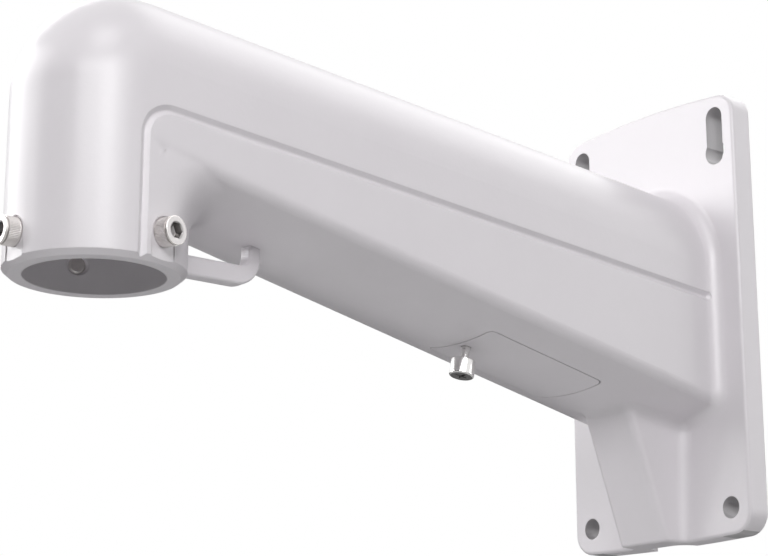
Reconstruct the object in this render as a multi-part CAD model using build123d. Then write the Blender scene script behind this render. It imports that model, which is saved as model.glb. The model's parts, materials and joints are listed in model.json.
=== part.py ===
from build123d import *
import math
import os

# A cast arm that carries a camera under its collar, away from a wall.
# Millimetres, +Z up. The wall is the plane Y = 0 and the arm runs towards -Y. The origin is the
# middle of the wall plate's back, which is also the middle of its four screw places.

# Wall plate: a slab with bowed ends, two plain holes below and two keyholes above
plate_width = 98.0
plate_height = 182.6
plate_thickness = 9.8
plate_corner_radius = 9.0
plate_top_bow = 2.8              # fall of the top edge from its middle to the plate's sides
plate_bottom_bow = 1.1
plate_edge_radius = 1.4
screw_margin_x = 10.0            # from the plate's sides to the screw places
screw_margin_z = 11.3
screw_hole_diameter = 8.6
keyhole_entry_diameter = 10.4
keyhole_drop = 14.8              # from the hanging place down to the middle of the entry hole

# Collar and elbow: a round tube that turns over towards the wall
reach = 274.4                    # from the wall to the collar's axis
tube_radius = 31.2
collar_bottom = -22.2
collar_chamfer_width = 2.2
collar_chamfer_height = 1.8
elbow_radius = 7.0               # of the tube's centre line
bore_radius = 24.25
bore_depth = 40.0
seat_width = 2.75                # ledge that the camera's tube stops against
seat_thickness = 4.0
bore_sleeve = 4.5                # metal round the bore where it stands inside the arm

# Arm: half round above, flat sides, a slightly bowed underside
crown_height = 51.6              # of the crown line, carried on to the wall
crown_slope = 5.63               # degrees, falling towards the wall
underside_height = -47.6         # of the underside's middle line, carried on to the wall
underside_slope = 12.26
underside_bow_radius = 91.0
underside_corner_radius = 4.5
root_half_width = 35.4           # at the wall plate
wall_thickness = 4.0
root_fillet = 5.0
heel_blend_radius = 10.0         # soft inner corner of the collar and the underside
heel_blend_sink = 0.03           # how far the blend's own edges lie inside the metal

# Groove along each side
groove_width = 3.4
groove_floor_width = 0.5
groove_depth = 1.2
groove_from_collar_axis = -0.6   # along Y, of the upright run
groove_corner_height = 31.7
groove_corner_radius = 10.0
groove_root_height = 4.8
groove_end_gap = 4.1             # short of the wall plate's front
groove_cutter_rise = 3.0         # how far its cutter stands out of the side

# Strut below the arm, hollow for the cable, with a notch at the wall
strut_top_depth = 36.4           # from the wall, where its front meets the underside
strut_top_height = -44.8
strut_foot_depth = 19.8
strut_half_width = 13.0          # across the front
strut_draft = 6.0
strut_edge_radius = 3.0
strut_fillet = 4.5
notch_half_width = 11.0
notch_depth = 7.8
notch_corner_radius = 7.0

# Eyelet for a safety rope, between the collar and the underside
eyelet_thickness = 6.2           # along X
eyelet_bar_bottom = -16.1
eyelet_bar_height = 7.1
eyelet_back = -208.7             # outer face of its upright
eyelet_upright_width = 4.8
eyelet_outer_radius = 10.0
eyelet_inner_radius = 4.0
eyelet_edge_radius = 0.9

# Three clamping screws in flat pockets round the collar
clamp_angles = {"front": -90.0, "right": 16.0, "left": 164.0}
clamp_height = 10.4              # above the collar's bottom
pocket_width = 11.2
pocket_floor_depth = 0.8
clamp_thread_diameter = 6.0
clamp_head_diameter = 10.0
clamp_head_height = 6.0
clamp_head_chamfer = 0.4
clamp_hex = 5.0
clamp_hex_depth = 3.0
clamp_tip_setback = 0.4          # the tip waits this far behind the bore's wall
clamp_countersink_diameter = 7.6
clamp_countersink_depth = 0.8

# Cable hatch in the underside, its cover and the cover's screw
hatch_front = 115.0              # from the wall
hatch_rear = 57.5
hatch_half_width = 19.0
hatch_corner_radius = 3.0
cover_gap = 0.35
cover_thickness = 4.0            # at the middle line
ledge_width = 4.0
ledge_thickness = 3.0
frame_margin = 4.0
tongue_width = 18.0
tongue_thickness = 2.0
tongue_overlap = 2.6
tongue_neck = 3.0
tongue_clearance = 0.25
cover_screw_inset = 4.2          # behind the cover's front edge
cover_screw_shank_diameter = 3.3
cover_screw_thread_diameter = 4.0
cover_screw_thread_length = 6.0
cover_screw_standoff = 5.0       # the head stands this far off the cover
cover_screw_head_diameter = 9.6
cover_screw_head_height = 6.9
cover_screw_head_chamfer = 0.7
cover_screw_recess = 2.6
cover_screw_play = 0.2
boss_radius = 5.5
boss_roof = 1.5
thread_clearance = 0.05

# What follows from the sizes above
crown_angle = math.radians(crown_slope)
underside_angle = math.radians(underside_slope)
axis_y = -reach
screw_spacing_x = plate_width - 2 * screw_margin_x
screw_spacing_z = plate_height - 2 * screw_margin_z
bend_y = axis_y + elbow_radius
bend_z = (crown_height - math.tan(crown_angle) * bend_y
          - (elbow_radius + tube_radius) / math.cos(crown_angle))
root_distance = (-plate_thickness - bend_y) / math.cos(crown_angle)
far = plate_height               # longer than anything that a cut has to pass


def underside_z(y, depth=0.0):
    """Height of the underside's middle line, or of a line parallel to it inside the arm."""
    return (underside_height - math.tan(underside_angle) * y
            + depth / math.cos(underside_angle))


def arm_section(distance, inset, taper=True):
    """Arched section square to the crown, so far towards the wall from the elbow."""
    cosine, sine = math.cos(crown_angle), math.sin(crown_angle)
    y, z = bend_y + distance * cosine, bend_z - distance * sine
    widening = (root_half_width - tube_radius) * distance / root_distance if taper else 0.0
    half = tube_radius + widening - inset
    crown = elbow_radius + tube_radius - inset
    bottom = (underside_z(y, inset) - z) / (cosine + math.tan(underside_angle) * sine)
    bow = underside_bow_radius - inset
    corner = bottom + bow - math.sqrt(bow ** 2 - half ** 2)
    shoulder = crown - half
    outline = [
        Line((-half, corner), (-half, shoulder)),
        ThreePointArc((-half, shoulder), (0, crown), (half, shoulder)),
        Line((half, shoulder), (half, corner)),
        ThreePointArc((half, corner), (0, bottom), (-half, corner)),
    ]
    face = make_face(outline)
    face = fillet(face.vertices().group_by(Axis.Y)[0], underside_corner_radius - inset)
    plane = Plane(origin=(0, y, z), x_dir=(1, 0, 0), z_dir=(0, -cosine, sine))
    return plane * face


def elbow(inset):
    """Outer half of a ring with flat sides, turned from the collar's top to the arm."""
    radius = tube_radius - inset
    outline = [
        Line((radius, 0), (radius, -elbow_radius)),
        ThreePointArc((radius, -elbow_radius), (0, -elbow_radius - radius),
                      (-radius, -elbow_radius)),
        Line((-radius, -elbow_radius), (-radius, 0)),
        Line((-radius, 0), (radius, 0)),
    ]
    profile = Pos(0, bend_y, bend_z) * make_face(outline)
    return revolve(profile, Axis((0, bend_y, bend_z), (-1, 0, 0)), 90 + crown_slope)


def tube(inset, bottom):
    """Elbow, arm and the upright tube below them, all as full solids."""
    radius = tube_radius - inset
    past_wall = root_distance + plate_thickness * 3
    arm = loft([arm_section(0, inset), arm_section(past_wall, inset)], ruled=True)
    straight = loft([arm_section(-2 * tube_radius, inset, taper=False),
                     arm_section(tube_radius, inset, taper=False)], ruled=True)
    upright = Pos(0, axis_y, bottom) * Cylinder(
        radius, bend_z - bottom, align=(Align.CENTER, Align.CENTER, Align.MIN))
    heel = Pos(0, (axis_y + bend_y) / 2, bottom) * Box(
        2 * radius, elbow_radius, bend_z - bottom, align=(Align.CENTER, Align.CENTER, Align.MIN))
    return arm + elbow(inset) + (upright + (heel & straight))


def plate_blank(depth):
    """The wall plate's outline, thickened away from the wall."""
    half, top, bottom = plate_width / 2, plate_height / 2, -plate_height / 2
    outline = [
        ThreePointArc((-half, top - plate_top_bow), (0, top), (half, top - plate_top_bow)),
        Line((half, top - plate_top_bow), (half, bottom + plate_bottom_bow)),
        ThreePointArc((half, bottom + plate_bottom_bow), (0, bottom),
                      (-half, bottom + plate_bottom_bow)),
        Line((-half, bottom + plate_bottom_bow), (-half, top - plate_top_bow)),
    ]
    face = make_face(outline)
    face = fillet(face.vertices(), plate_corner_radius)
    return extrude(Plane.XZ * face, depth)


def strut_front(z):
    """Distance of the strut's front from the wall at a height."""
    foot = -plate_height / 2
    share = (z - foot) / (strut_top_height - foot)
    return strut_foot_depth + (strut_top_depth - strut_foot_depth) * share


def strut():
    """Drafted prism from the plate's foot up into the arm, with rounded front edges."""
    sections = []
    for z in (-plate_height / 2 - plate_corner_radius, strut_top_height + tube_radius / 2):
        front = strut_front(z)
        wide = strut_half_width + math.tan(math.radians(strut_draft)) * front
        face = Polygon((-strut_half_width, -front), (strut_half_width, -front), (wide, 0),
                       (-wide, 0), align=None)
        sections.append(Pos(0, 0, z) * face)
    body = loft(sections, ruled=True)
    fronts = body.edges().filter_by(lambda e: abs(e.tangent_at(0).Z) > 0.5)
    body = fillet(fronts.group_by(Axis.Y)[0], strut_edge_radius)
    return body & plate_blank(far)


def cable_channel():
    """Hollow of the strut, from the notch at the foot up into the arm."""
    sections = []
    for z in (-plate_height / 2 - plate_corner_radius, strut_top_height + tube_radius / 2):
        above_foot = strut_front(z) - strut_foot_depth
        depth = notch_depth + above_foot
        face = Polygon((-notch_half_width, -depth), (notch_half_width, -depth),
                       (notch_half_width, wall_thickness), (-notch_half_width, wall_thickness),
                       align=None)
        face = fillet(face.vertices().group_by(Axis.Y)[0], notch_corner_radius)
        sections.append(Pos(0, 0, z) * face)
    return loft(sections, ruled=True)


def eyelet():
    """Bar and upright that close a loop for a safety rope."""
    top = underside_z(eyelet_back, wall_thickness / 2)
    start = axis_y + (bore_radius + tube_radius) / 2
    outer = Polygon((start, eyelet_bar_bottom), (eyelet_back, eyelet_bar_bottom),
                    (eyelet_back, top), (start, top), align=None)
    outer = fillet(outer.vertices().group_by(Axis.Y)[0].sort_by(Axis.X)[-1], eyelet_outer_radius)
    window_right = eyelet_back - eyelet_upright_width
    window_bottom = eyelet_bar_bottom + eyelet_bar_height
    window = Polygon((start, window_bottom), (window_right, window_bottom),
                     (window_right, top), (start, top), align=None)
    window = fillet(window.vertices().group_by(Axis.Y)[0].sort_by(Axis.X)[-1],
                    eyelet_inner_radius)
    band = extrude(Plane.YZ * (outer - window), eyelet_thickness / 2, both=True)
    long_edges = [e for e in band.edges()
                  if abs(abs(e.center().X) - eyelet_thickness / 2) < 0.01
                  and e.length > eyelet_bar_height + 0.5 or e.geom_type == GeomType.CIRCLE]
    return fillet(long_edges, eyelet_edge_radius)


def groove(side):
    """Cutter for one side: up the collar, round the corner and along to the root."""
    lean = (root_half_width - tube_radius) / root_distance
    plane = Plane(origin=(tube_radius, bend_y, 0), x_dir=(lean, 1, 0), z_dir=(1, -lean, 0))
    upright = axis_y + groove_from_collar_axis - bend_y
    end = -plate_thickness - groove_end_gap - bend_y
    path = FilletPolyline((upright, collar_bottom - 1), (upright, groove_corner_height),
                          (end, groove_root_height), radius=groove_corner_radius)
    start = plane.from_local_coords((upright, collar_bottom - 1, 0))
    across = Plane(origin=start, x_dir=plane.x_dir, z_dir=(0, 0, 1))
    half, floor = groove_width / 2, groove_floor_width / 2
    rise = groove_cutter_rise
    profile = Polygon((-floor, groove_depth), (floor, groove_depth), (half, 0), (half, -rise),
                      (-half, -rise), (-half, 0), align=None)
    cutter = sweep(across * profile, path=plane * path)
    tip = plane.from_local_coords((end, groove_root_height, 0))
    end_plane = Plane(origin=tip, z_dir=(-1, lean, 0))
    cutter += end_plane * Cone(half, floor, groove_depth,
                               align=(Align.CENTER, Align.CENTER, Align.MIN))
    cutter += end_plane * Cylinder(half, rise, align=(Align.CENTER, Align.CENTER, Align.MAX))
    return cutter if side > 0 else mirror(cutter, Plane.YZ)


def clamp_plane(angle, radius):
    """Plane square to a clamping screw, facing outwards, at a radius from the collar's axis."""
    turn = math.radians(angle)
    out = (math.cos(turn), math.sin(turn), 0)
    origin = (out[0] * radius, axis_y + out[1] * radius, collar_bottom + clamp_height)
    return Plane(origin=origin, x_dir=(-out[1], out[0], 0), z_dir=out)


def clamp_cuts(angle):
    """Pocket, threaded hole and inner countersink for one clamping screw."""
    floor = clamp_plane(angle, tube_radius - pocket_floor_depth)
    half = pocket_width / 2
    pocket = (Circle(half)
              + Pos(0, -clamp_height) * Rectangle(pocket_width, 2 * clamp_height))
    cuts = floor * extrude(pocket, tube_radius)
    hole = Cylinder(clamp_thread_diameter / 2 + thread_clearance, tube_radius,
                    align=(Align.CENTER, Align.CENTER, Align.MIN))
    cuts += clamp_plane(angle, bore_radius / 2) * hole
    sink = Cone(clamp_countersink_diameter / 2 + clamp_countersink_depth,
                clamp_thread_diameter / 2 + thread_clearance, 2 * clamp_countersink_depth,
                align=(Align.CENTER, Align.CENTER, Align.CENTER))
    return cuts + clamp_plane(angle, bore_radius) * sink


def clamp_screw(angle):
    """Socket head cap screw, its head on the pocket's floor and its tip short of the bore."""
    seat = tube_radius - pocket_floor_depth
    length = seat - bore_radius - clamp_tip_setback
    head = Cylinder(clamp_head_diameter / 2, clamp_head_height,
                    align=(Align.CENTER, Align.CENTER, Align.MIN))
    rim = head.faces().sort_by(Axis.Z)[-1].edges()
    head = chamfer(rim, clamp_head_chamfer)
    across_corners = clamp_hex / math.cos(math.radians(30))
    socket = extrude(RegularPolygon(across_corners / 2, 6), clamp_hex_depth)
    head -= Pos(0, 0, clamp_head_height - clamp_hex_depth) * socket
    head -= Pos(0, 0, clamp_head_height - clamp_hex_depth) * Cone(
        0.1, clamp_hex / 2, clamp_hex / 4, align=(Align.CENTER, Align.CENTER, Align.MAX))
    shank = Cylinder(clamp_thread_diameter / 2, length,
                     align=(Align.CENTER, Align.CENTER, Align.MAX))
    shank = chamfer(shank.faces().sort_by(Axis.Z)[0].edges(), clamp_head_chamfer)
    return clamp_plane(angle, seat) * (head + shank)


# Frame on the underside: x along X, y towards the collar, z out of the metal
hatch_middle = -(hatch_front + hatch_rear) / 2
hatch_half_length = (hatch_front - hatch_rear) / 2 / math.cos(underside_angle)
hatch_plane = Plane(origin=(0, hatch_middle, underside_z(hatch_middle)), x_dir=(1, 0, 0),
                    z_dir=(0, -math.sin(underside_angle), -math.cos(underside_angle)))
cover_screw_y = hatch_half_length - cover_screw_inset
boss_depth = (cover_thickness + cover_screw_play + cover_screw_thread_length
              + cover_screw_standoff + boss_roof)


def hatch_prism(inset, low, high):
    """Rounded rectangle of the hatch, drawn in by an inset, between two levels."""
    width, length = 2 * (hatch_half_width - inset), 2 * (hatch_half_length - inset)
    face = RectangleRounded(width, length, max(hatch_corner_radius - inset, 1.0))
    return hatch_plane * Pos(0, 0, low) * extrude(face, high - low)


def boss(radius, low, high):
    """Upright round the cover screw's axis between two levels."""
    column = Cylinder(radius, high - low, align=(Align.CENTER, Align.CENTER, Align.MIN))
    return hatch_plane * Pos(0, cover_screw_y, low) * column


def hatch_frame(envelope):
    """Thick rim round the hatch with the screw's boss, kept inside the arm's outline."""
    deep = cover_thickness + ledge_thickness
    frame = hatch_prism(-frame_margin, -deep, ledge_width)
    foot = hatch_plane * Pos(0, cover_screw_y + boss_radius / 2, -boss_depth) * extrude(
        Rectangle(2 * boss_radius, boss_radius + 2 * cover_screw_inset), boss_depth - deep)
    return (frame + boss(boss_radius, -boss_depth, -deep) + foot) & envelope


def hatch_cuts():
    """Recess for the cover, the opening inside it and the screw's threaded hole."""
    deep = cover_thickness + ledge_thickness
    recess = hatch_prism(0, -cover_thickness, ledge_width)
    opening = hatch_prism(ledge_width, -deep - 1, -cover_thickness + 1)
    opening -= boss(boss_radius, -boss_depth, 0)
    thread = boss(cover_screw_thread_diameter / 2 + thread_clearance,
                  -boss_depth + boss_roof, ledge_width)
    return recess + opening + thread


def access_cover(envelope):
    """Cover that carries on the underside's bow, with a tongue behind the rear ledge."""
    plate = hatch_prism(cover_gap, -cover_thickness, ledge_width) & envelope
    level = cover_thickness + ledge_thickness + tongue_clearance
    edge = -(hatch_half_length - ledge_width)
    neck = hatch_plane * Pos(0, edge + cover_gap + tongue_neck / 2, -level - tongue_thickness) * (
        extrude(Rectangle(tongue_width, tongue_neck), level + tongue_thickness - cover_thickness))
    length = tongue_neck + cover_gap + tongue_overlap
    tongue = hatch_plane * Pos(
        0, edge + cover_gap + tongue_neck - length / 2, -level - tongue_thickness) * (
        extrude(Rectangle(tongue_width, length), tongue_thickness))
    hole = boss(cover_screw_shank_diameter / 2 + cover_screw_play, -2 * cover_thickness,
                ledge_width)
    return plate + neck + tongue - hole


def cover_screw():
    """Captive screw, undone far enough for its head to stand clear of the cover."""
    thread_top = -cover_thickness - cover_screw_play
    head_low = cover_screw_standoff
    head_high = head_low + cover_screw_head_height
    head = Cylinder(cover_screw_head_diameter / 2, cover_screw_head_height,
                    align=(Align.CENTER, Align.CENTER, Align.MIN))
    rims = head.faces().filter_by(Axis.Z).edges()
    head = chamfer(rims, cover_screw_head_chamfer)
    blade = Rectangle(cover_screw_recess * 2, 1.1) + Rectangle(1.1, cover_screw_recess * 2)
    head -= Pos(0, 0, cover_screw_head_height) * extrude(blade, -cover_screw_recess, taper=8)
    shank = Cylinder(cover_screw_shank_diameter / 2, head_low - thread_top,
                     align=(Align.CENTER, Align.CENTER, Align.MIN))
    thread = Cylinder(cover_screw_thread_diameter / 2, cover_screw_thread_length,
                      align=(Align.CENTER, Align.CENTER, Align.MAX))
    thread = chamfer(thread.faces().sort_by(Axis.Z)[0].edges(), cover_screw_head_chamfer)
    body = Pos(0, 0, head_low) * head + Pos(0, 0, thread_top) * (shank + thread)
    return hatch_plane * Pos(0, cover_screw_y, 0) * body


def upright_root(edge):
    """Where a side of the strut meets the plate's front."""
    middle = edge.position_at(0.5)
    return (abs(middle.Y + plate_thickness) < 0.01 and abs(edge.tangent_at(0.5).Z) > 0.9
            and abs(middle.X) < 2 * strut_half_width)


def heel_blend():
    """Soft inner corner between the collar's back and the bowed underside."""
    centre_y = axis_y + tube_radius + heel_blend_radius
    centre_z = underside_z(centre_y) - heel_blend_radius / math.cos(underside_angle)
    half = tube_radius - heel_blend_sink
    base = heel_blend_radius + heel_blend_sink
    top = heel_blend_radius + tube_radius

    def collar_rise(x):
        return tube_radius - math.sqrt(tube_radius ** 2 - x ** 2)

    def underside_rise(x):
        corner = underside_corner_radius
        run = min(max(abs(x) - tube_radius + corner, 0), corner)
        return (underside_bow_radius - math.sqrt(underside_bow_radius ** 2 - x ** 2)
                + corner - math.sqrt(corner ** 2 - run ** 2))

    across = [half * math.sin(math.radians(angle)) for angle in range(-84, 85, 12)]
    sections = []
    for step in range(7):
        share = step / 6
        turn = share * (math.pi / 2 + underside_angle)
        eased = share ** 2 * (3 - 2 * share)
        curve = [(x, base + (1 - eased) * collar_rise(x) + eased * underside_rise(x))
                 for x in across]
        left, right = curve[0], curve[-1]
        face = make_face([Spline(curve), Line(right, (right[0], top)),
                          Line((right[0], top), (left[0], top)), Line((left[0], top), left)])
        plane = Plane(origin=(0, centre_y, centre_z), x_dir=(1, 0, 0),
                      z_dir=(0, -math.sin(turn), -math.cos(turn)))
        sections.append(plane * face)
    return loft(sections)


def on_rim(edge):
    """Front outline of the plate, with the strut's foot."""
    middle = edge.position_at(0.5)
    outer = (abs(middle.X) > plate_width / 2 - plate_corner_radius
             or abs(middle.Z) > plate_height / 2 - plate_corner_radius)
    return outer and middle.Y < -plate_thickness / 2 and abs(edge.tangent_at(0.5).Y) < 0.95


def room_before_wall():
    """Everything on the arm's side of the wall."""
    return Pos(0, -far, 0) * Box(4 * far, 2 * far, 4 * far)


def outer_body(envelope):
    """Plate, strut, arm and eyelet as one lump, rounded where the casting is."""
    body = plate_blank(plate_thickness) + strut()
    body = fillet(body.edges().filter_by(upright_root), strut_fillet)
    body += envelope & room_before_wall()
    arm_roots = [e for e in body.edges() if abs(e.position_at(0.5).Y + plate_thickness) < 0.01
                 and e.position_at(0.5).Z > -plate_height / 4
                 and abs(e.position_at(0.5).X) < plate_width / 2 - plate_corner_radius
                 and e.position_at(0.5).Z < plate_height / 2 - plate_corner_radius]
    body = fillet(arm_roots, root_fillet)
    body = fillet(body.edges().filter_by(on_rim), plate_edge_radius)
    return body + heel_blend() + eyelet()


def collar_trim():
    """What the chamfer takes off the collar's lower edge."""
    blank = Pos(0, axis_y, collar_bottom) * Cylinder(
        tube_radius + 1, collar_chamfer_height, align=(Align.CENTER, Align.CENTER, Align.MIN))
    cone = Pos(0, axis_y, collar_bottom) * Cone(
        tube_radius - collar_chamfer_width, tube_radius, collar_chamfer_height,
        align=(Align.CENTER, Align.CENTER, Align.MIN))
    return blank - cone


def collar_hole(radius, low, high):
    """Cylinder on the collar's axis between two heights above its bottom."""
    return Pos(0, axis_y, collar_bottom + low) * Cylinder(
        radius, high - low, align=(Align.CENTER, Align.CENTER, Align.MIN))


def cavity():
    """Cable way: bore, seat, elbow and arm, open at the wall, and the strut's channel."""
    top_of_seat = bore_depth + seat_thickness
    inside = tube(wall_thickness, collar_bottom + top_of_seat)
    inside -= Pos(0, axis_y + bore_radius + bore_sleeve, collar_bottom) * Box(
        far, far, top_of_seat, align=(Align.CENTER, Align.MAX, Align.MIN))
    inside += collar_hole(bore_radius - seat_width, bore_depth - 1, top_of_seat + 1)
    inside += collar_hole(bore_radius, -1, bore_depth)
    return inside + cable_channel()


def plate_holes():
    """Two plain screw holes below and two keyholes above."""
    cuts = []
    for x in (-screw_spacing_x / 2, screw_spacing_x / 2):
        low, high = -screw_spacing_z / 2, screw_spacing_z / 2
        entry = high - keyhole_drop
        keyhole = (Pos(x, high) * Circle(screw_hole_diameter / 2)
                   + Pos(x, (high + entry) / 2) * Rectangle(screw_hole_diameter, keyhole_drop)
                   + Pos(x, entry) * Circle(keyhole_entry_diameter / 2))
        plain = Pos(x, low) * Circle(screw_hole_diameter / 2)
        for outline in (keyhole, plain):
            cuts.append(extrude(Plane.XZ * outline, 2 * plate_thickness, both=True))
    return cuts


def casting(envelope):
    """The bracket body, one hollow casting."""
    body = outer_body(envelope) - collar_trim() - cavity()
    body += hatch_frame(envelope)
    body -= hatch_cuts()
    for side in (-1, 1):
        body -= groove(side)
    for angle in clamp_angles.values():
        body -= clamp_cuts(angle)
    for cut in plate_holes():
        body -= cut
    return body


def write(name, shape):
    """One file for each piece, and its volume for the log."""
    export_step(shape, os.path.join("parts", name + ".step"))
    print(name, "solids", len(shape.solids()), "volume", round(shape.volume))


os.makedirs("parts", exist_ok=True)
arm_envelope = tube(0, collar_bottom)
write("bracket_casting", casting(arm_envelope))
write("access_cover", access_cover(arm_envelope))
write("cover_screw", cover_screw())
for place, angle in clamp_angles.items():
    write("clamp_screw_" + place, clamp_screw(angle))
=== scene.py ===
"""A cast wall bracket for a camera: an arm with an elbow and a clamping collar.

Metres, +Z up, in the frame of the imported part: the wall is the plane Y = 0, the arm runs to -Y.
"""
import json
import math

import bpy
import numpy as np
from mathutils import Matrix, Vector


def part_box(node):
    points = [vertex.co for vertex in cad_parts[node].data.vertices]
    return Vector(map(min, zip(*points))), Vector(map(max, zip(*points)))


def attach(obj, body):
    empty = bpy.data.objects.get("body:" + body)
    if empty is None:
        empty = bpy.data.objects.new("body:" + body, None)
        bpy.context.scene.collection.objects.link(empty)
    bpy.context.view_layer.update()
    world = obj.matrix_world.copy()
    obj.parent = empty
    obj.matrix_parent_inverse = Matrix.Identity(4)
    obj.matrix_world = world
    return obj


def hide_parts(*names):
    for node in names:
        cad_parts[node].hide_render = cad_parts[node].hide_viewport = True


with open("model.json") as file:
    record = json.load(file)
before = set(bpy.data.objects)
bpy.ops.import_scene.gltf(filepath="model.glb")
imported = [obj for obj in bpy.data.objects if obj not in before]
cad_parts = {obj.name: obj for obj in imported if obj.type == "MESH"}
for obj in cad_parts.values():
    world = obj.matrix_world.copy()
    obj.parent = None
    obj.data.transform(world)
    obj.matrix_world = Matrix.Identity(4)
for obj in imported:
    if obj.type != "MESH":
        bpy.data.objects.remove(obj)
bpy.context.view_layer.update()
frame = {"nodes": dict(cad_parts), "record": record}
nodes = frame["nodes"]
mounts = {mount["name"]: mount["pos_m"] for mount in frame["record"]["mounts"]}


# The casting: plate, strut, arm, elbow, collar and rope eyelet in one piece of cast aluminium.
# It is shot blasted and powder coated in a satin white, which rounds its edges and leaves a fine
# orange peel over a faint mottle. A darker grey is mixed in on the walls of the wall screws' holes
# and in the bore: painted shade.
coat_light = (0.78, 0.75, 0.78)
coat_dark = (0.725, 0.695, 0.725)
coat_roughness = 0.31
coat_ior = 1.58
coat_edge_radius = 0.0005        # the coat flows round an edge this far
coat_heel_radius = 0.003         # and this much further in the inner corner under the elbow
coat_edge_samples = 8
coat_heel_ranges = (             # axis, where the wider edges start and where they are full
    ("Y", -0.2725, -0.270), ("Y", -0.220, -0.226),
    ("Z", -0.0085, -0.0065), ("Z", 0.028, 0.025))
coat_peel_height = 0.00006
coat_peel_strength = 0.35
coat_peel_scale = 620.0          # dimples a metre
coat_grain_scale = 2600.0
coat_grain_height = 0.25         # of the peel's
coat_mottle_scale = 38.0
coat_mottle_share = 0.7          # of the shade, and the grain has the rest
# painted shade: the darker grey mixed in on the walls of the wall screws' holes and in the bore
painted_shade_colour = (0.36, 0.35, 0.36)
wall_hole_aside = 0.039          # from the bracket's middle to the wall screws' holes
wall_hole_reach = 0.0055
wall_hole_front = -0.011
wall_hole_facing = 0.5           # the normal of a hole's wall has less than this along Y
wall_hole_share = 0.85
bore_at = mounts["collar_bore"][1]
bore_reach = 0.0246
bore_top = 0.03
bore_share = 0.22


def new_group(name, inputs, outputs):
    """Empty node group with named float or colour sockets."""
    group = bpy.data.node_groups.new(name, "ShaderNodeTree")
    for label, kind, value in inputs:
        socket = group.interface.new_socket(label, in_out="INPUT", socket_type=kind)
        socket.default_value = value
    for label, kind in outputs:
        group.interface.new_socket(label, in_out="OUTPUT", socket_type=kind)
    return group, group.nodes.new("NodeGroupInput"), group.nodes.new("NodeGroupOutput")


def feed(tree, socket, value):
    """Gives a node's input another node's output, or a plain value."""
    if isinstance(value, bpy.types.NodeSocket):
        tree.links.new(value, socket)
    else:
        socket.default_value = value


def node(tree, kind, **settings):
    """New node with its settings, and with what feeds its named inputs."""
    made = tree.nodes.new(kind)
    for key, value in settings.items():
        if hasattr(made, key):
            setattr(made, key, value)
        else:
            feed(tree, made.inputs[key.replace("_", " ")], value)
    return made


def math_node(tree, operation, first, second=0.0):
    """Arithmetic on one or two values, each a socket or a number."""
    made = node(tree, "ShaderNodeMath", operation=operation)
    feed(tree, made.inputs[0], first)
    feed(tree, made.inputs[1], second)
    return made.outputs[0]


def mix_colours(tree, share, first, second):
    """The first colour times 1 - share, plus the second times the share."""
    made = node(tree, "ShaderNodeMix", data_type="RGBA")
    for slot, value in ((0, share), (6, first), (7, second)):
        feed(tree, made.inputs[slot], value)
    return made.outputs[2]


def noise(tree, where, scale, detail=2.0, rough=0.5):
    """Noise in object space, from 0 to 1."""
    return node(tree, "ShaderNodeTexNoise", Scale=scale, Detail=detail, Roughness=rough,
                Vector=where).outputs["Fac"]


def powder_skin():
    """The height is a sum of a soft and a fine noise. The shade follows a wide mottle and the fine
    noise, and the roughness follows the mottle."""
    tree, inlet, result = new_group(
        "powder skin",
        [("Light", "NodeSocketColor", (0.8, 0.8, 0.8, 1)),
         ("Dark", "NodeSocketColor", (0.7, 0.7, 0.7, 1)),
         ("Roughness", "NodeSocketFloat", 0.35), ("Roughness Change", "NodeSocketFloat", 0.05)],
        [("Colour", "NodeSocketColor"), ("Roughness", "NodeSocketFloat"),
         ("Height", "NodeSocketFloat")])
    given = inlet.outputs
    where = tree.nodes.new("ShaderNodeTexCoord").outputs["Object"]
    peel = noise(tree, where, coat_peel_scale, detail=1.0)
    grain = noise(tree, where, coat_grain_scale)
    mottle = noise(tree, where, coat_mottle_scale, detail=4.0, rough=0.6)
    height = math_node(tree, "ADD", peel, math_node(tree, "MULTIPLY", grain, coat_grain_height))
    shade = math_node(tree, "ADD", math_node(tree, "MULTIPLY", mottle, coat_mottle_share),
                      math_node(tree, "MULTIPLY", grain, 1 - coat_mottle_share))
    change = math_node(tree, "MULTIPLY", math_node(tree, "SUBTRACT", mottle, 0.5),
                       given["Roughness Change"])
    feed(tree, result.inputs["Colour"], mix_colours(tree, shade, given["Dark"], given["Light"]))
    feed(tree, result.inputs["Roughness"], math_node(tree, "ADD", given["Roughness"], change))
    feed(tree, result.inputs["Height"], height)
    return tree


def slab_mask(name, ranges):
    """1 inside a box with soft sides, as a product of smooth steps. Each range is an axis, where
    the step is 0 and where it is 1."""
    tree, _, result = new_group(name, [], [("Inside", "NodeSocketFloat")])
    where = tree.nodes.new("ShaderNodeTexCoord").outputs["Object"]
    parts = node(tree, "ShaderNodeSeparateXYZ", Vector=where).outputs
    inside = 1.0
    for axis, low, high in ranges:
        step = node(tree, "ShaderNodeMapRange", interpolation_type="SMOOTHSTEP",
                    Value=parts[axis], From_Min=low, From_Max=high)
        inside = math_node(tree, "MULTIPLY", inside, step.outputs["Result"])
    feed(tree, result.inputs["Inside"], inside)
    return tree


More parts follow.
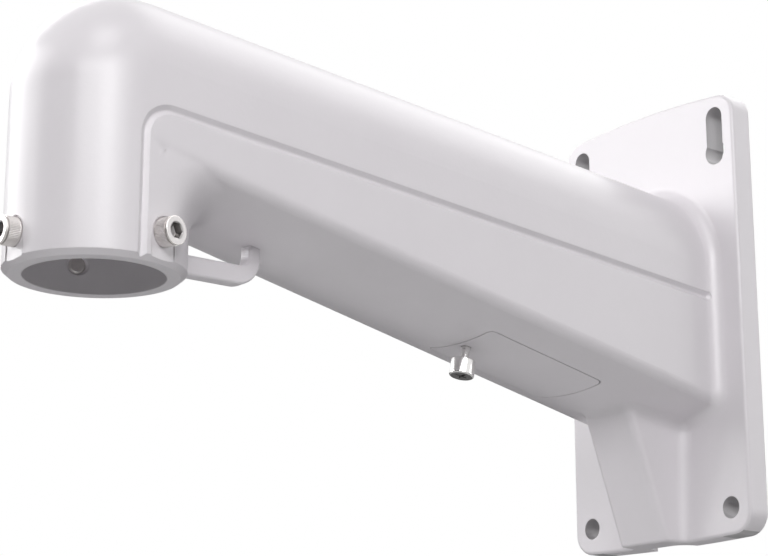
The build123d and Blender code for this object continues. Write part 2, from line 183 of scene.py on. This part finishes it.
def painted_shade_places():
    """Share of the painted shade, a darker grey: on the walls of the wall screws' holes, which are
    strips along Z where the normal lies across Y, and in the bore, a circle round the collar's
    axis."""
    tree, _, result = new_group("painted shade", [], [("Painted Shade", "NodeSocketFloat")])
    coordinates = tree.nodes.new("ShaderNodeTexCoord").outputs
    at = node(tree, "ShaderNodeSeparateXYZ", Vector=coordinates["Object"]).outputs
    facing = node(tree, "ShaderNodeSeparateXYZ", Vector=coordinates["Normal"]).outputs
    aside = math_node(tree, "ABSOLUTE", at["X"])
    off_hole = math_node(tree, "ABSOLUTE", math_node(tree, "SUBTRACT", aside, wall_hole_aside))
    tilt = math_node(tree, "ABSOLUTE", facing["Y"])
    holes = math_node(tree, "LESS_THAN", off_hole, wall_hole_reach)
    for more in (math_node(tree, "GREATER_THAN", at["Y"], wall_hole_front),
                 math_node(tree, "LESS_THAN", tilt, wall_hole_facing), wall_hole_share):
        holes = math_node(tree, "MULTIPLY", holes, more)
    back = math_node(tree, "SUBTRACT", at["Y"], bore_at)
    away = math_node(tree, "SQRT", math_node(tree, "ADD", math_node(tree, "MULTIPLY", aside, aside),
                                             math_node(tree, "MULTIPLY", back, back)))
    bore = math_node(tree, "LESS_THAN", away, bore_reach)
    for more in (math_node(tree, "LESS_THAN", at["Z"], bore_top), bore_share):
        bore = math_node(tree, "MULTIPLY", bore, more)
    feed(tree, result.inputs["Painted Shade"], math_node(tree, "ADD", holes, bore))
    return tree


def new_material(name):
    """Material with a Principled shader, and its tree."""
    material = bpy.data.materials.new(name)
    material.use_nodes = True
    tree = material.node_tree
    return material, tree, tree.nodes["Principled BSDF"]


powder_group = powder_skin()
heel_mask = slab_mask("heel mask", coat_heel_ranges)
painted_shade_mask = painted_shade_places()


def powder_coat(name, light, dark, roughness, heel=None, shade_mask=None):
    """Satin coat whose edges are softened by the Bevel node before the peel is laid on. Where a
    heel mask is 1 they are softened further, and a shade mask is the share of painted shade, a
    darker grey mixed into the colour."""
    material, tree, shader = new_material(name)
    skin = node(tree, "ShaderNodeGroup", node_tree=powder_group, Light=(*light, 1),
                Dark=(*dark, 1), Roughness=roughness).outputs
    colour, radius = skin["Colour"], coat_edge_radius
    if heel is not None:
        inside = node(tree, "ShaderNodeGroup", node_tree=heel).outputs["Inside"]
        wider = math_node(tree, "MULTIPLY", inside, coat_heel_radius)
        radius = math_node(tree, "ADD", wider, coat_edge_radius)
    # painted shade: a darker grey mixed in where the shade mask is 1
    if shade_mask is not None:
        share = node(tree, "ShaderNodeGroup", node_tree=shade_mask).outputs["Painted Shade"]
        colour = mix_colours(tree, share, colour, (*painted_shade_colour, 1))
    soft_edge = node(tree, "ShaderNodeBevel", samples=coat_edge_samples, Radius=radius)
    bump = node(tree, "ShaderNodeBump", Strength=coat_peel_strength, Distance=coat_peel_height,
                Height=skin["Height"], Normal=soft_edge.outputs["Normal"])
    feed(tree, shader.inputs["Base Color"], colour)
    feed(tree, shader.inputs["Roughness"], skin["Roughness"])
    feed(tree, shader.inputs["IOR"], coat_ior)
    feed(tree, shader.inputs["Normal"], bump.outputs["Normal"])
    return material


def paint_node(name, material):
    """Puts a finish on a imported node, whose shape stays as it is."""
    for place in nodes[name].material_slots:
        place.material = material


casting_coat = powder_coat("white_powder_coat", coat_light, coat_dark, coat_roughness,
                           heel=heel_mask, shade_mask=painted_shade_mask)
paint_node("bracket_casting", casting_coat)


# The access cover: a cast plate in the same coat, let into the underside with a thin gap round
# it. It hooks in with a tongue at its wall end and is held by one captive screw at the other.
cover_light = (0.77, 0.74, 0.77)
cover_dark = (0.72, 0.69, 0.72)
cover_roughness = 0.33
cover_coat = powder_coat("white_cover_coat", cover_light, cover_dark, cover_roughness)
paint_node("access_cover", cover_coat)


# The three clamping screws: steel socket head cap screws, M6, with a rolled knurl round the
# head. Each is screwed through the collar from a flat pocket and bears on the camera's tube.
collar_axis = np.array(mounts["collar_bore"])
clamp_angles = {"front": -90.0, "right": 16.0, "left": 164.0}   # round the collar, from +X
clamp_low, clamp_high = (np.array(corner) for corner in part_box("clamp_screw_front"))
clamp_head_radius = (clamp_high[0] - clamp_low[0]) / 2
clamp_face = collar_axis[1] - clamp_low[1]       # from the collar's axis out to the head's face
clamp_tip = collar_axis[1] - clamp_high[1]
clamp_height = (clamp_low[2] + clamp_high[2]) / 2
clamp_head_length = 0.006
clamp_seat = clamp_face - clamp_head_length
clamp_low_rim_radius = 0.0004
clamp_rim_radius = 0.0003
clamp_face_ring = 0.0038                         # a ring on the face, which keeps it flat
clamp_shank_radius = 0.003
clamp_thread_pitch = 0.001
clamp_thread_depth = 0.0005
clamp_tip_ring = 0.0012
clamp_tip_chamfer = 0.0006
clamp_tip_height = 0.0005
clamp_socket_half = 0.0025                       # across the flats
clamp_socket_depth = 0.003
clamp_lead_width = 0.0001                        # of the countersink, past the corners
clamp_lead_ring = 0.00015                        # a ring on the face, this far round it
clamp_lead_top = 0.00005                         # depths of its two ends
clamp_lead_end = 0.0003
clamp_floor_draft = 0.96                         # the floor is this share of the hexagon
clamp_floor_step = 0.0001                        # and this far below its wall
clamp_drill_radius = 0.0019
clamp_drill_point = 0.0003
clamp_drill_top = 0.0002
clamp_drill_depth = 0.001
clamp_groove_depth = 0.0004                      # of the groove between knurl and front ring
clamp_groove_low = 0.0049
clamp_groove_high = 0.0052
clamp_ring_low = 0.0053
clamp_ring_inset = 0.00005
knurls = 54
knurl_depth = 0.00015
knurl_fade = ((0.0005, 0.0), (0.0007, 0.7), (0.001, 1.0),      # height, share of the depth
              (0.0044, 1.0), (0.0047, 0.7), (0.0048, 0.0))
thread_rows = 10                                 # rings in a pitch
thread_run_out = 0.7                             # of a pitch
points_round = 216                               # a multiple of the knurls and of 6 corners
sharp_angle = 38.0
shade_copy_margin = 0.0001                           # from a socket's floor to where the painted shade ends
steel_blotch_scale = 900.0
steel_roughness_spread = 0.22
steel_line_strength = 0.3


def ring_mesh(name, rings, origin, x_axis, z_axis):
    """Closed skin of rings. Point (i, j) is radius[i, j] along the angle j, and height[i] along
    z_axis. The first and last rings are drawn together into points."""
    radii, heights = rings
    count, around = radii.shape
    angle = np.arange(around) * 2 * math.pi / around
    y_axis = np.cross(z_axis, x_axis)
    flat = radii[..., None] * (np.cos(angle)[:, None] * x_axis + np.sin(angle)[:, None] * y_axis)
    points = origin + flat + heights[:, None, None] * z_axis
    points = np.concatenate([points.reshape(-1, 3), points[:1].mean(1), points[-1:].mean(1)])
    row = np.arange(count - 1)[:, None] * around
    here, following = np.arange(around), (np.arange(around) + 1) % around
    quads = np.stack([row + here, row + following, row + around + following,
                      row + around + here], -1).reshape(-1, 4)
    last = (count - 1) * around
    first_fan = np.stack([following, here, np.full(around, count * around)], -1)
    last_fan = np.stack([last + here, last + following, np.full(around, count * around + 1)], -1)
    mesh = bpy.data.meshes.new(name)
    mesh.from_pydata(points.tolist(), [], quads.tolist() + first_fan.tolist() + last_fan.tolist())
    mesh.polygons.foreach_set("use_smooth", np.ones(len(mesh.polygons), bool))
    mesh.set_sharp_from_angle(angle=math.radians(sharp_angle))
    mesh.update()
    piece = bpy.data.objects.new(name, mesh)
    bpy.context.scene.collection.objects.link(piece)
    return piece


def join_rings(*parts):
    """One stack of rings from several, each its radii and its heights."""
    radii, heights = zip(*parts)
    return np.concatenate(radii), np.concatenate(heights)


def thread_rings(low, high, radius, depth, pitch, around):
    """Helical thread: the radius falls by a triangle wave of height less angle, which runs out at
    both ends."""
    height = np.linspace(low, high, int((high - low) / pitch * thread_rows))
    turn = np.arange(around) / around
    phase = (height[:, None] / pitch - turn) % 1.0
    wave = 1 - np.abs(2 * phase - 1)
    run_out = np.clip(np.minimum(height - low, high - height) / (pitch * thread_run_out), 0, 1)
    return radius - depth * wave * run_out[:, None], height


def plain_rings(profile, around):
    """Rings of a turned profile, a list of (radius, height)."""
    radius, height = np.array(profile).T
    return np.repeat(radius[:, None], around, 1), height


def rounded_rim(radius, height, size, start, end, steps=6):
    """Points of a quarter round of a rim, between two angles in degrees."""
    bend = np.radians(np.linspace(start, end, steps))
    return [(radius - size + size * math.cos(a), height + size * math.sin(a)) for a in bend]


def hexagon(half, around):
    """Distance from the axis to a hexagon's side: half over the cosine of the angle to its flat."""
    angle = np.arange(around) * 2 * math.pi / around
    return half / np.cos((angle % (math.pi / 3)) - math.pi / 6)


def clamp_screw_rings():
    """Rings from the tip to the socket's end: thread, knurled head with rounded rims, a ring and a
    groove at its front, and a hexagon socket with a drilled cone. Heights are from the seat."""
    around, top, tip_at = points_round, clamp_head_length, clamp_tip - clamp_seat
    tip = plain_rings([(clamp_tip_ring, tip_at), (clamp_shank_radius - clamp_tip_chamfer, tip_at)],
                      around)
    thread = thread_rings(tip_at + clamp_tip_height, 0.0, clamp_shank_radius,
                          clamp_thread_depth, clamp_thread_pitch, around)
    low_rim = rounded_rim(clamp_head_radius, clamp_low_rim_radius, clamp_low_rim_radius,
                          start=-90, end=-10)
    under = plain_rings([(clamp_shank_radius, 0.0)] + low_rim, around)
    wave = 1 - np.abs(2 * (np.arange(around) * knurls / around % 1.0) - 1)
    side_at, fade = np.array(knurl_fade).T
    side = clamp_head_radius - knurl_depth * wave * fade[:, None]
    neck = clamp_head_radius - clamp_groove_depth
    lead = clamp_socket_half / math.cos(math.pi / 6) + clamp_lead_width
    front = [(neck, clamp_groove_low), (neck, clamp_groove_high),
             (clamp_head_radius - clamp_ring_inset, clamp_ring_low)]
    front += rounded_rim(clamp_head_radius, top - clamp_rim_radius, clamp_rim_radius,
                         start=10, end=90, steps=7)
    front += [(clamp_face_ring, top), (lead + clamp_lead_ring, top),
              (lead, top - clamp_lead_top)]
    wall = hexagon(clamp_socket_half, around)
    floor = top - clamp_socket_depth
    socket = np.stack([wall, wall, wall * clamp_floor_draft])
    socket_at = np.array([top - clamp_lead_end, floor, floor - clamp_floor_step])
    drill = plain_rings([(clamp_drill_radius, floor - clamp_drill_top),
                         (clamp_drill_point, floor - clamp_drill_depth)], around)
    return join_rings(tip, thread, under, (side, side_at), plain_rings(front, around),
                      (socket, socket_at), drill)


def steel(name, light, dark, roughness, line_scale, stretch, depth):
    """Bare metal. A stretched noise gives fine lines that vary the roughness and the height, and a
    round one varies the shade."""
    material, tree, shader = new_material(name)
    where = tree.nodes.new("ShaderNodeTexCoord").outputs["Object"]
    squeeze = node(tree, "ShaderNodeMapping", vector_type="TEXTURE", Vector=where, Scale=stretch)
    lines = noise(tree, squeeze.outputs[0], line_scale, detail=3.0, rough=0.6)
    blotch = noise(tree, where, steel_blotch_scale)
    spread = math_node(tree, "MULTIPLY", math_node(tree, "SUBTRACT", lines, 0.5),
                       steel_roughness_spread)
    bump = node(tree, "ShaderNodeBump", Strength=steel_line_strength, Distance=depth, Height=lines)
    feed(tree, shader.inputs["Metallic"], 1.0)
    feed(tree, shader.inputs["Base Color"], mix_colours(tree, blotch, (*dark, 1), (*light, 1)))
    feed(tree, shader.inputs["Roughness"], math_node(tree, "ADD", spread, roughness))
    feed(tree, shader.inputs["Normal"], bump.outputs["Normal"])
    return material


def shade_copy_by_place(piece, main, other, origin, axis, height, radius):
    """Gives a turned piece two materials, the second a darker copy for painted shade and painted
    reflection: it goes where a face is further along the axis than a height and nearer to the axis
    than a radius."""
    piece.data.materials.append(main)
    piece.data.materials.append(other)
    middles = np.empty(len(piece.data.polygons) * 3, np.float32)
    piece.data.polygons.foreach_get("center", middles)
    away = middles.reshape(-1, 3) - origin
    there = (away @ axis > height) & (np.linalg.norm(np.cross(away, axis), axis=1) < radius)
    piece.data.polygons.foreach_set("material_index", there.astype(np.int32))


knurled_steel = steel("knurled_steel", light=(0.80, 0.77, 0.75), dark=(0.68, 0.655, 0.64),
                      roughness=0.38, line_scale=2500.0, stretch=(1.0, 1.0, 0.15), depth=0.00002)
# The face and the hex socket get this darker copy of the knurl's steel: painted shade.
face_painted_shade_steel = steel("face_painted_shade_steel", light=(0.41, 0.395, 0.393), dark=(0.34, 0.328, 0.326),
                     roughness=0.32, line_scale=2500.0, stretch=(1.0, 1.0, 0.15), depth=0.00002)
clamp_rings = clamp_screw_rings()
for place, angle in clamp_angles.items():
    turn = math.radians(angle)
    out = np.array([math.cos(turn), math.sin(turn), 0.0])
    across = np.array([-math.sin(turn), math.cos(turn), 0.0])
    seat = np.array([collar_axis[0], collar_axis[1], clamp_height]) + out * clamp_seat
    screw = ring_mesh("clamp_screw_detail_" + place, clamp_rings, seat, across, out)
    shade_copy_by_place(screw, knurled_steel, face_painted_shade_steel, seat, out,
                    clamp_head_length - clamp_socket_depth - clamp_drill_depth - shade_copy_margin,
                    clamp_head_radius - clamp_groove_depth)
    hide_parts("clamp_screw_" + place)
    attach(screw, "root")


# The cover's screw: bright plated steel, turned from bar, with a slim neck that keeps it captive
# in the cover and a rounded head with a cross recess. It is undone, so its head stands clear.
def screw_axis(name, direction):
    """Point on the axis at the far face of the head, the length behind it and the head's radius."""
    mesh = nodes[name].data
    points = np.empty(len(mesh.vertices) * 3, np.float32)
    mesh.vertices.foreach_get("co", points)
    points = points.reshape(-1, 3).astype(float)
    side = np.array([1.0, 0.0, 0.0])
    other = np.cross(direction, side)
    along = points @ direction
    middle = [(points @ a).min() / 2 + (points @ a).max() / 2 for a in (side, other)]
    radius = (points @ side).max() - middle[0]
    return (direction * along.max() + side * middle[0] + other * middle[1],
            along.max() - along.min(), radius)


cover_screw_lean = math.radians(12.26)           # the underside's slope
cover_screw_out = np.array([0.0, -math.sin(cover_screw_lean), -math.cos(cover_screw_lean)])
cover_face, cover_screw_length, cover_head_radius = screw_axis("cover_screw", cover_screw_out)
cover_head_length = 0.0065
cover_rim_radius = 0.0006
cover_shoulder_radius = 0.0004
cover_side_ring = 0.0001                         # rings this near the rims keep the side straight
cover_face_ring = 0.0032
cover_neck_radius = 0.00165
cover_neck_fillet = 0.0002
cover_thread_radius = 0.002
cover_thread_length = 0.006
cover_thread_depth = 0.0003
cover_thread_pitch = 0.0007
cover_tip_ring = 0.0006
cover_tip_chamfer = 0.0005
cross_reach = 0.0026
cross_half_width = 0.00055
cross_lead = 1.06                                # the recess's mouth, larger than its wall
cross_lead_depth = 0.0001
cross_depth = 0.0024
cross_floor_reach = 0.45                         # shares left at the recess's floor
cross_floor_width = 0.6
cross_turn = 7.0                                 # degrees from X


def cross_outline(reach, half_width, around):
    """Distance from the axis to a plus sign: its arm's end or its arm's side, the nearer one. The
    side is out of reach along the middle of an arm, where the sine is kept above zero."""
    angle = np.arange(around) * 2 * math.pi / around
    off = np.abs((angle + math.pi / 4) % (math.pi / 2) - math.pi / 4)
    return np.minimum(reach / np.cos(off), half_width / np.maximum(np.sin(off), 1e-4))


def cover_screw_rings():
    """Rings from the tip to the recess's floor: thread, slim neck, head with rounded rims, and a
    cross recess that narrows. Heights are from the head's shoulder."""
    around, top, tip_at = points_round, cover_head_length, cover_head_length - cover_screw_length
    thread_end = tip_at + cover_thread_length
    tip = plain_rings([(cover_tip_ring, tip_at), (cover_thread_radius - cover_tip_chamfer, tip_at)],
                      around)
    thread = thread_rings(tip_at + cover_tip_chamfer, thread_end, cover_thread_radius,
                          cover_thread_depth, cover_thread_pitch, around)
    neck = plain_rings([(cover_neck_radius, thread_end + cover_neck_fillet),
                        (cover_neck_radius, -cover_neck_fillet),
                        (cover_neck_radius + cover_neck_fillet, 0.0)], around)
    profile = rounded_rim(cover_head_radius, cover_shoulder_radius, cover_shoulder_radius,
                          start=-90, end=0)
    profile += [(cover_head_radius, cover_shoulder_radius + cover_side_ring),
                (cover_head_radius, top - cover_rim_radius - cover_side_ring)]
    profile += rounded_rim(cover_head_radius, top - cover_rim_radius, cover_rim_radius,
                           start=0, end=90, steps=7)
    head = plain_rings(profile + [(cover_face_ring, top)], around)
    mouth = cross_outline(cross_reach, cross_half_width, around)
    floor = cross_outline(cross_reach * cross_floor_reach, cross_half_width * cross_floor_width,
                          around)
    recess = np.stack([mouth * cross_lead, mouth, floor])
    recess_at = np.array([top, top - cross_lead_depth, top - cross_depth])
    return join_rings(tip, thread, neck, head, (recess, recess_at))


bright_plate = steel("bright_plate", light=(0.86, 0.85, 0.84), dark=(0.78, 0.77, 0.76),
                     roughness=0.16, line_scale=3000.0, stretch=(1.0, 1.0, 0.3), depth=0.00001)
# The head's face and its cross recess get this darker copy of the plate: painted dark reflection on
# the face and painted shade in the recess.
painted_dark_face_plate = steel("painted_dark_face_plate", light=(0.24, 0.235, 0.235), dark=(0.17, 0.165, 0.165),
                   roughness=0.34, line_scale=3000.0, stretch=(1.0, 1.0, 0.3), depth=0.00001)
cover_seat = cover_face - cover_screw_out * cover_head_length
turn = math.radians(cross_turn)
across = np.array([math.cos(turn), 0.0, 0.0])
across = across + math.sin(turn) * np.cross(cover_screw_out, (1.0, 0.0, 0.0))
cover_screw = ring_mesh("cover_screw_detail", cover_screw_rings(), cover_seat, across,
                        cover_screw_out)
shade_copy_by_place(cover_screw, bright_plate, painted_dark_face_plate, cover_seat, cover_screw_out,
                cover_head_length - cross_depth - shade_copy_margin,
                cover_head_radius - cover_rim_radius)
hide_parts("cover_screw")
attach(cover_screw, "root")


# The studio: a pale round floor well below the bracket, a white surround that is seen and
# mirrored but lights nothing matt, nine soft lamps, and two dark screens that the camera
# doesn't see, for the coat and the metal to mirror.
studio_radius = 1.9
sheet_roughness = 0.9            # of the floor and the screens
floor_height = -0.6
floor_steps = 96
floor_shade = 0.76
floor_white = 0.7                # share of white that the camera sees in the floor
floor_glow = 0.95                # and how bright it is
screen_steps = 25
screens = {                      # azimuths of the ends in degrees, top and shade
    "grey_screen": (-28.0, 54.0, 1.0, 0.09),
    "low_screen": (195.0, 285.0, 0.13, 0.05),
}
lamp_middle = np.array([0.0, -0.15, 0.0])
lamp_distance = 1.3
lamps = {                        # azimuth and elevation in degrees, width and power
    "key": (50.0, 55.0, 0.5, 2.5),
    "strip_front": (39.0, 22.0, 0.45, 3.4),
    "strip_middle": (61.0, 22.0, 0.45, 5.0),
    "strip_back": (78.0, 22.0, 0.45, 1.9),
    "front_left": (-34.0, 26.0, 0.7, 4.6),
    "left": (-62.0, 22.0, 0.7, 5.8),
    "left_back": (-90.0, 38.0, 0.6, 2.4),
    "right_low": (148.0, 12.0, 0.8, 2.3),
    "back": (180.0, 50.0, 1.2, 6.5),
}
camera_lens = 99.5
camera_sensor = 36.0
camera_shift = (0.0032, -0.0587)
camera_place = (0.6032, -0.6240, -0.2027)
camera_turn = (105.847, 0.0, 51.946)


def matt_sheet(name, points, faces, shade):
    """Flat or curved sheet in a matt grey, with its tree and its shader."""
    mesh = bpy.data.meshes.new(name)
    mesh.from_pydata(points.tolist(), [], faces)
    material, tree, shader = new_material(name)
    feed(tree, shader.inputs["Base Color"], (shade, shade, shade, 1))
    feed(tree, shader.inputs["Roughness"], sheet_roughness)
    mesh.materials.append(material)
    sheet = bpy.data.objects.new(name, mesh)
    bpy.context.scene.collection.objects.link(sheet)
    return sheet, tree, shader


def stage_floor():
    """Round sheet. The camera sees it mixed with white, which keeps it pale out to its edge and
    leaves the bracket's shadow."""
    turn = np.arange(floor_steps) * 2 * math.pi / floor_steps
    rim = np.column_stack([np.cos(turn) * studio_radius, np.sin(turn) * studio_radius,
                           np.full(floor_steps, floor_height)])
    floor, tree, shader = matt_sheet("floor", rim, [list(range(floor_steps))], floor_shade)
    white = node(tree, "ShaderNodeEmission", Color=(1, 1, 1, 1), Strength=floor_glow)
    seen = tree.nodes.new("ShaderNodeLightPath").outputs["Is Camera Ray"]
    both = tree.nodes.new("ShaderNodeMixShader")
    feed(tree, both.inputs[0], math_node(tree, "MULTIPLY", seen, floor_white))
    feed(tree, both.inputs[1], shader.outputs[0])
    feed(tree, both.inputs[2], white.outputs[0])
    feed(tree, tree.nodes["Material Output"].inputs["Surface"], both.outputs[0])


def stage_screen(name, start, end, top, shade):
    """Curved screen that stands on the floor's edge between two azimuths."""
    turn = np.radians(np.linspace(start, end, screen_steps))
    foot = np.stack([np.sin(turn), -np.cos(turn)], -1) * studio_radius
    points = np.concatenate([np.column_stack([foot, np.full(screen_steps, z)])
                             for z in (floor_height, top)])
    step = np.arange(screen_steps - 1)
    quads = np.stack([step, step + 1, step + screen_steps + 1, step + screen_steps], -1)
    screen, _, _ = matt_sheet(name, points, quads.tolist(), shade)
    screen.visible_camera = False


def white_surround():
    """World of strength 1 where the camera sees it, also by a mirroring or a clear surface, and 0
    where it would light a matt one."""
    world = bpy.data.worlds.new("surround")
    world.use_nodes = True
    bpy.context.scene.world = world
    sky = world.node_tree
    paths = sky.nodes.new("ShaderNodeLightPath").outputs
    seen = math_node(sky, "MAXIMUM", paths["Is Camera Ray"], math_node(
        sky, "MAXIMUM", paths["Is Glossy Ray"], paths["Is Transmission Ray"]))
    feed(sky, sky.nodes["Background"].inputs["Color"], (1, 1, 1, 1))
    feed(sky, sky.nodes["Background"].inputs["Strength"], seen)


def softbox(name, azimuth, elevation, width, power):
    """Square lamp that looks at the bracket. Azimuth 0 stands on -Y and 90 on +X."""
    turn, rise = math.radians(azimuth), math.radians(elevation)
    away = np.array([math.sin(turn) * math.cos(rise), -math.cos(turn) * math.cos(rise),
                     math.sin(rise)])
    data = bpy.data.lights.new(name, "AREA")
    data.shape, data.size, data.energy = "SQUARE", width, power
    lamp = bpy.data.objects.new(name, data)
    lamp.location = lamp_middle + away * lamp_distance
    lamp.rotation_euler = (math.acos(away[2]), 0, math.atan2(away[0], -away[1]))
    bpy.context.scene.collection.objects.link(lamp)


stage_floor()
for name, measures in screens.items():
    stage_screen(name, *measures)
white_surround()
for name, measures in lamps.items():
    softbox(name, *measures)

camera_data = bpy.data.cameras.new("camera")
camera_data.lens = camera_lens
camera_data.sensor_width = camera_sensor
camera_data.shift_x, camera_data.shift_y = camera_shift
camera = bpy.data.objects.new("camera", camera_data)
camera.location = camera_place
camera.rotation_euler = [math.radians(angle) for angle in camera_turn]
bpy.context.scene.collection.objects.link(camera)
bpy.context.scene.camera = camera
bpy.context.scene.view_settings.view_transform = "Standard"
